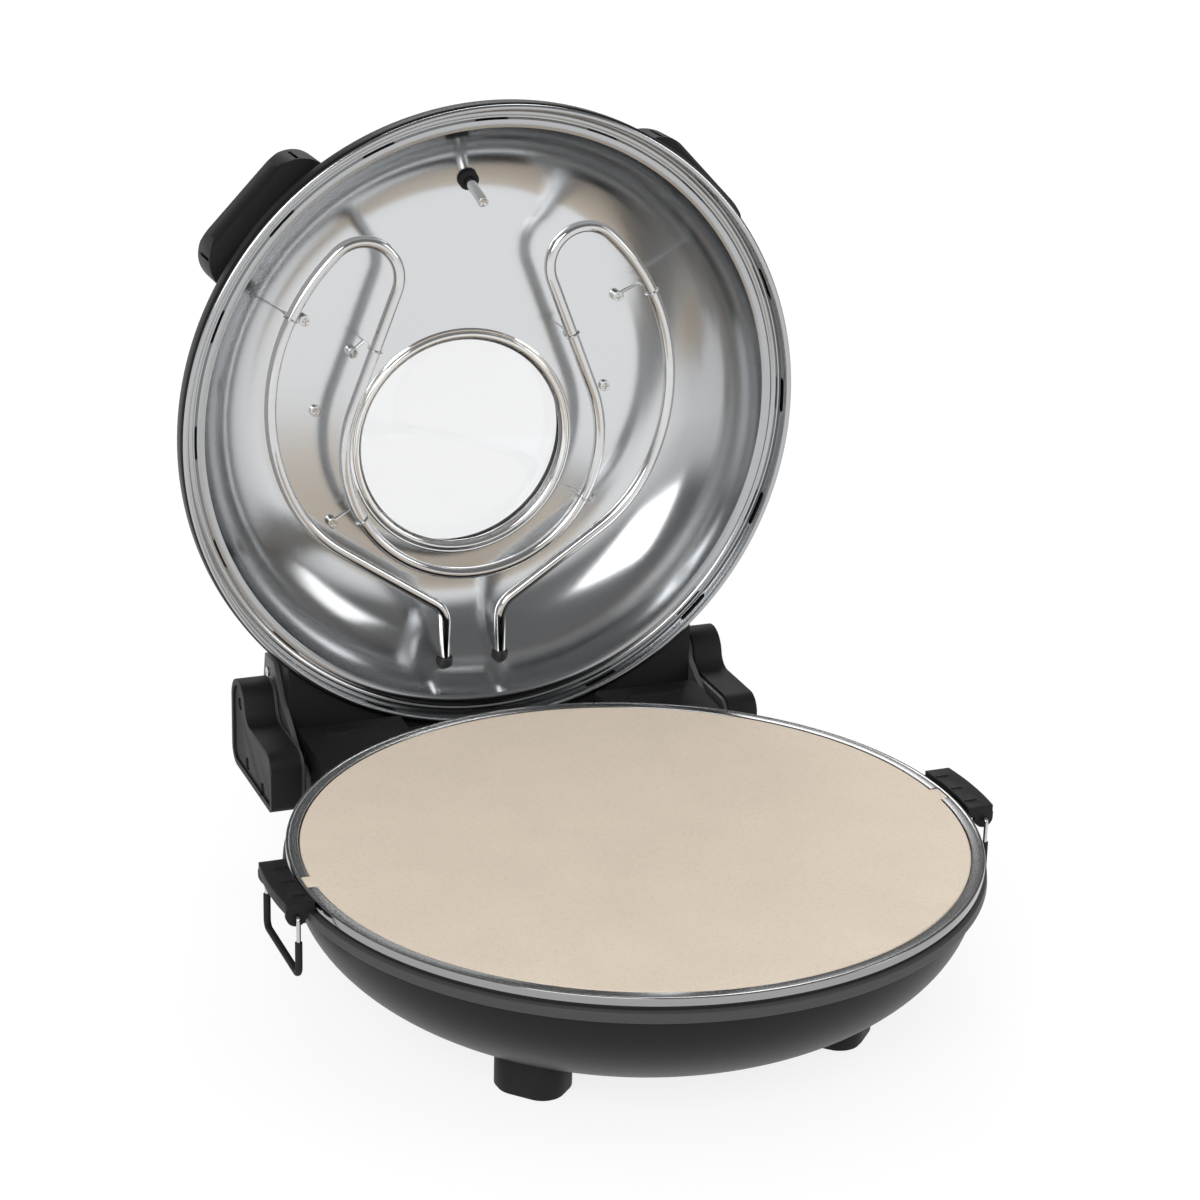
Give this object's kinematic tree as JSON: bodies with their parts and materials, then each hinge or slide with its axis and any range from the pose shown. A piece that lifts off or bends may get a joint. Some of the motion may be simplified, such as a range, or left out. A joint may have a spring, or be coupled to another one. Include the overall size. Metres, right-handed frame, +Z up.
{
  "type": "electric pizza maker",
  "caption": "Round electric pizza maker with a stone baking plate, hinged domed lid with heating tube and round window, and wire side bails.",
  "frame": {"origin": "on the table plane, at the middle of the whole object's box with the lid open as in the picture; the round base's axis is 66 mm in front of it", "axes": "+Z up, -Y front, +Y towards the hinge, +X right"},
  "size_m": [0.378, 0.4832, 0.4116],
  "materials": {
    "black_enamel": "satin black heat-proof paint on sheet steel",
    "band_paint": "mid dark grey heat-proof paint",
    "black_plastic": "fine-grained black heat-proof plastic",
    "black_rubber": "matt black rubber",
    "rim_steel": "circularly brushed stainless steel with a polished outer wall",
    "zinc_sheet": "plain bright sheet",
    "reflector_sheet": "satin pressed sheet",
    "stone": "fine matt cordierite, light sand colour",
    "tube_steel": "smooth satin steel tube",
    "screw_steel": "zinc-plated steel",
    "dark_screw": "blackened steel",
    "wire_chrome": "bright wire",
    "bright_ring": "polished pressed ring",
    "hinge_steel": "grey painted steel plate",
    "white_ceramic": "matt steatite",
    "dark_ceramic": "dark steatite",
    "window_glass": "clear tempered glass",
    "insulation": "loose mineral fibre",
    "red_lamp": "clear red plastic"
  },
  "bodies": {
    "base": {"base_bowl": "black_enamel", "bowl_band": "band_paint", "rim_seal": "black_rubber", "rim_ring": "rim_steel", "heater_pan": "zinc_sheet", "baking_stone": "stone", "lower_heater": "tube_steel", "lower_heater_brackets": "zinc_sheet", "lower_heater_bushings": "white_ceramic", "lower_terminals": "screw_steel", "feet": "black_plastic", "foot_pads": "black_rubber", "foot_screws": "screw_steel", "clip_plate_left": "black_plastic", "clip_plate_right": "black_plastic", "clip_screws": "screw_steel", "hinge_yoke": "hinge_steel", "hinge_cover": "black_plastic", "hinge_cheek_left": "black_plastic", "hinge_cheek_right": "black_plastic", "cheek_screws": "dark_screw", "hinge_pins": "screw_steel", "cable_box": "black_plastic", "cable_gland": "black_rubber", "terminal_block": "white_ceramic"},
    "lid": {"lid_shell": "black_enamel", "lid_reflector": "reflector_sheet", "window_frame": "bright_ring", "window_gasket": "black_rubber", "window_glass_inner": "window_glass", "window_tube": "zinc_sheet", "window_glass_outer": "window_glass", "window_bezel": "black_plastic", "lid_insulation": "insulation", "upper_heater": "tube_steel", "heater_bushings": "dark_ceramic", "upper_terminals": "screw_steel", "heater_clips": "wire_chrome", "heater_clip_screws": "screw_steel", "reflector_screws": "screw_steel", "probe": "screw_steel", "probe_grommet": "black_rubber", "handle_left": "black_plastic", "handle_right": "black_plastic", "handle_screws": "screw_steel", "lid_hinge_block": "black_plastic", "hinge_arm_left": "hinge_steel", "hinge_arm_right": "hinge_steel", "arm_screws": "screw_steel", "control_box": "black_plastic", "thermostat": "zinc_sheet", "indicator_lamps": "red_lamp"},
    "bail_left": {"bail_wire_left": "wire_chrome", "bail_sleeve_left": "black_rubber"},
    "bail_right": {"bail_wire_right": "wire_chrome", "bail_sleeve_right": "black_rubber"},
    "knob": {"control_knob": "black_plastic"}
  },
  "joints": [
    {"name": "lid_hinge", "type": "hinge", "parent": "base", "child": "lid", "pos_m": [0, 0.11428, 0.057], "axis": [1, 0, 0], "range_deg": [0, 90.75]},
    {"name": "bail_left_swing", "type": "hinge", "parent": "base", "child": "bail_left", "pos_m": [-0.1825, -0.06602, 0.0814], "axis": [0, 1, 0], "range_deg": [0, 198]},
    {"name": "bail_right_swing", "type": "hinge", "parent": "base", "child": "bail_right", "pos_m": [0.1825, -0.06602, 0.0814], "axis": [0, -1, 0], "range_deg": [0, 198]},
    {"name": "knob_turn", "type": "hinge", "parent": "lid", "child": "knob", "pos_m": [0, 0.22112, 0.36493], "axis": [0, 0.8576, 0.5143], "range_deg": [0, 270]}
  ]
}
